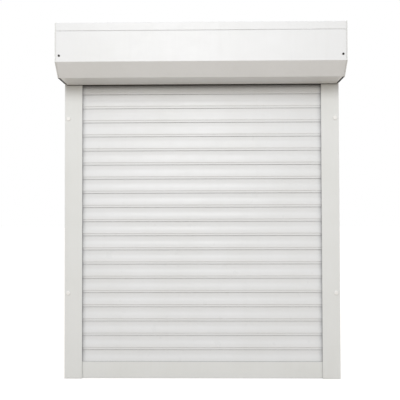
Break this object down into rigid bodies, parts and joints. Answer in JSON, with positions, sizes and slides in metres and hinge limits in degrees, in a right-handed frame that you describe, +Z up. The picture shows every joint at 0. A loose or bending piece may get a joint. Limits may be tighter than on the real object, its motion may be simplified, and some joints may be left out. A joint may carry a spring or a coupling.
{
  "type": "exterior roller shutter",
  "caption": "Front-mounted exterior roller shutter, closed: bevelled head box with tubular motor and octagonal roller, two guide rails, interlocking slats and a bottom bar",
  "frame": {"origin": "On the wall plane, in the middle of the four guide fixings", "axes": "+Z up, -Y out of the wall towards the street, +X to the right seen from the street"},
  "size_m": [0.83, 0.1518, 1.0413],
  "materials": {
    "casing_white": "white satin powder coat on aluminium sheet",
    "guide_white": "white satin powder coat on extruded aluminium",
    "slat_white": "white satin coat on extruded aluminium",
    "plate_white": "white satin powder coat on die-cast aluminium",
    "white_plastic": "moulded",
    "grey_plastic": "moulded",
    "black_rubber": "matt",
    "dark_screw": "blackened",
    "zinc_steel": "zinc plated",
    "bearing_steel": "ground",
    "spring_steel": "blued",
    "rivet_aluminium": "satin"
  },
  "bodies": {
    "housing": {"guide_rail_left": "guide_white", "guide_rail_right": "guide_white", "guide_gaskets": "black_rubber", "guide_chamber_plugs": "grey_plastic", "guide_screw_caps": "white_plastic", "inlet_funnels": "grey_plastic", "end_plate_left": "plate_white", "end_plate_right": "plate_white", "casing_top_panel": "casing_white", "casing_rear_panel": "casing_white", "casing_front_cover": "casing_white", "cover_screws": "dark_screw", "panel_rivets": "rivet_aluminium", "underside_seals": "black_rubber", "cable_grommet": "black_rubber", "curtain_wiper": "black_rubber", "motor_bracket": "zinc_steel", "motor_head": "grey_plastic", "motor_body": "zinc_steel", "motor_cable_gland": "black_rubber", "bearing_bracket": "zinc_steel", "bearing_outer_ring": "bearing_steel", "bracket_screws": "zinc_steel", "hanger_straps": "spring_steel"},
    "roller": {"roller_tube": "zinc_steel", "motor_shaft": "zinc_steel", "motor_crown": "grey_plastic", "drive_wheel": "grey_plastic", "drive_wheel_clip": "zinc_steel", "idler_plug": "grey_plastic", "idler_pin": "bearing_steel", "bearing_inner_ring": "bearing_steel", "tube_screws": "zinc_steel", "hanger_rings": "grey_plastic"},
    "bearing_cage": {"bearing_balls": "bearing_steel"},
    "bottom_bar": {"bottom_bar": "guide_white", "bottom_seal": "black_rubber", "bottom_bar_glides": "grey_plastic"},
    "slat_01": {"slat_01": "slat_white"},
    "slat_02": {"slat_02": "slat_white"},
    "slat_03": {"slat_03": "slat_white"},
    "slat_04": {"slat_04": "slat_white"},
    "slat_05": {"slat_05": "slat_white"},
    "slat_06": {"slat_06": "slat_white"},
    "slat_07": {"slat_07": "slat_white"},
    "slat_08": {"slat_08": "slat_white"},
    "slat_09": {"slat_09": "slat_white"},
    "slat_10": {"slat_10": "slat_white"},
    "slat_11": {"slat_11": "slat_white"},
    "slat_12": {"slat_12": "slat_white"},
    "slat_13": {"slat_13": "slat_white"},
    "slat_14": {"slat_14": "slat_white"},
    "slat_15": {"slat_15": "slat_white"},
    "slat_16": {"slat_16": "slat_white"},
    "slat_17": {"slat_17": "slat_white"},
    "slat_18": {"slat_18": "slat_white"},
    "slat_19": {"slat_19": "slat_white"},
    "slat_20": {"slat_20": "slat_white", "hanger_shoes": "grey_plastic"}
  },
  "joints": [
    {"name": "roller_spin", "type": "hinge", "parent": "housing", "child": "roller", "pos_m": [0, -0.078, 0.447], "axis": [1, 0, 0], "range_deg": [0, 144]},
    {"name": "bearing_cage_spin", "type": "hinge", "parent": "housing", "child": "bearing_cage", "pos_m": [0, -0.078, 0.447], "axis": [1, 0, 0], "range_deg": [0, 57.6]},
    {"name": "bottom_bar_lift", "type": "slide", "parent": "housing", "child": "bottom_bar", "axis": [0, 0, 1], "range_m": [0, 0.03653]},
    {"name": "slat_01_lift", "type": "slide", "parent": "housing", "child": "slat_01", "axis": [0, 0, 1], "range_m": [0, 0.03853]},
    {"name": "slat_02_lift", "type": "slide", "parent": "housing", "child": "slat_02", "axis": [0, 0, 1], "range_m": [0, 0.04053]},
    {"name": "slat_03_lift", "type": "slide", "parent": "housing", "child": "slat_03", "axis": [0, 0, 1], "range_m": [0, 0.04253]},
    {"name": "slat_04_lift", "type": "slide", "parent": "housing", "child": "slat_04", "axis": [0, 0, 1], "range_m": [0, 0.04453]},
    {"name": "slat_05_lift", "type": "slide", "parent": "housing", "child": "slat_05", "axis": [0, 0, 1], "range_m": [0, 0.04653]},
    {"name": "slat_06_lift", "type": "slide", "parent": "housing", "child": "slat_06", "axis": [0, 0, 1], "range_m": [0, 0.04853]},
    {"name": "slat_07_lift", "type": "slide", "parent": "housing", "child": "slat_07", "axis": [0, 0, 1], "range_m": [0, 0.05053]},
    {"name": "slat_08_lift", "type": "slide", "parent": "housing", "child": "slat_08", "axis": [0, 0, 1], "range_m": [0, 0.05253]},
    {"name": "slat_09_lift", "type": "slide", "parent": "housing", "child": "slat_09", "axis": [0, 0, 1], "range_m": [0, 0.05453]},
    {"name": "slat_10_lift", "type": "slide", "parent": "housing", "child": "slat_10", "axis": [0, 0, 1], "range_m": [0, 0.05653]},
    {"name": "slat_11_lift", "type": "slide", "parent": "housing", "child": "slat_11", "axis": [0, 0, 1], "range_m": [0, 0.05853]},
    {"name": "slat_12_lift", "type": "slide", "parent": "housing", "child": "slat_12", "axis": [0, 0, 1], "range_m": [0, 0.06053]},
    {"name": "slat_13_lift", "type": "slide", "parent": "housing", "child": "slat_13", "axis": [0, 0, 1], "range_m": [0, 0.06253]},
    {"name": "slat_14_lift", "type": "slide", "parent": "housing", "child": "slat_14", "axis": [0, 0, 1], "range_m": [0, 0.06453]},
    {"name": "slat_15_lift", "type": "slide", "parent": "housing", "child": "slat_15", "axis": [0, 0, 1], "range_m": [0, 0.06653]},
    {"name": "slat_16_lift", "type": "slide", "parent": "housing", "child": "slat_16", "axis": [0, 0, 1], "range_m": [0, 0.06853]},
    {"name": "slat_17_lift", "type": "slide", "parent": "housing", "child": "slat_17", "axis": [0, 0, 1], "range_m": [0, 0.07053]},
    {"name": "slat_18_lift", "type": "slide", "parent": "housing", "child": "slat_18", "axis": [0, 0, 1], "range_m": [0, 0.07253]},
    {"name": "slat_19_lift", "type": "slide", "parent": "housing", "child": "slat_19", "axis": [0, 0, 1], "range_m": [0, 0.07453]},
    {"name": "slat_20_lift", "type": "slide", "parent": "housing", "child": "slat_20", "axis": [0, 0, 1], "range_m": [0, 0.07653], "deforming": ["hanger_straps"]}
  ],
  "couplings": [
    {"joint": "bearing_cage_spin", "follows": "roller_spin", "ratio": 0.4},
    {"joint": "bottom_bar_lift", "follows": "roller_spin", "m_per_rad": 0.014535},
    {"joint": "slat_01_lift", "follows": "roller_spin", "m_per_rad": 0.01533},
    {"joint": "slat_02_lift", "follows": "roller_spin", "m_per_rad": 0.016126},
    {"joint": "slat_03_lift", "follows": "roller_spin", "m_per_rad": 0.016922},
    {"joint": "slat_04_lift", "follows": "roller_spin", "m_per_rad": 0.017718},
    {"joint": "slat_05_lift", "follows": "roller_spin", "m_per_rad": 0.018513},
    {"joint": "slat_06_lift", "follows": "roller_spin", "m_per_rad": 0.019309},
    {"joint": "slat_07_lift", "follows": "roller_spin", "m_per_rad": 0.020105},
    {"joint": "slat_08_lift", "follows": "roller_spin", "m_per_rad": 0.020901},
    {"joint": "slat_09_lift", "follows": "roller_spin", "m_per_rad": 0.021697},
    {"joint": "slat_10_lift", "follows": "roller_spin", "m_per_rad": 0.022492},
    {"joint": "slat_11_lift", "follows": "roller_spin", "m_per_rad": 0.023288},
    {"joint": "slat_12_lift", "follows": "roller_spin", "m_per_rad": 0.024084},
    {"joint": "slat_13_lift", "follows": "roller_spin", "m_per_rad": 0.02488},
    {"joint": "slat_14_lift", "follows": "roller_spin", "m_per_rad": 0.025675},
    {"joint": "slat_15_lift", "follows": "roller_spin", "m_per_rad": 0.026471},
    {"joint": "slat_16_lift", "follows": "roller_spin", "m_per_rad": 0.027267},
    {"joint": "slat_17_lift", "follows": "roller_spin", "m_per_rad": 0.028063},
    {"joint": "slat_18_lift", "follows": "roller_spin", "m_per_rad": 0.028858},
    {"joint": "slat_19_lift", "follows": "roller_spin", "m_per_rad": 0.029654},
    {"joint": "slat_20_lift", "follows": "roller_spin", "m_per_rad": 0.03045}
  ]
}
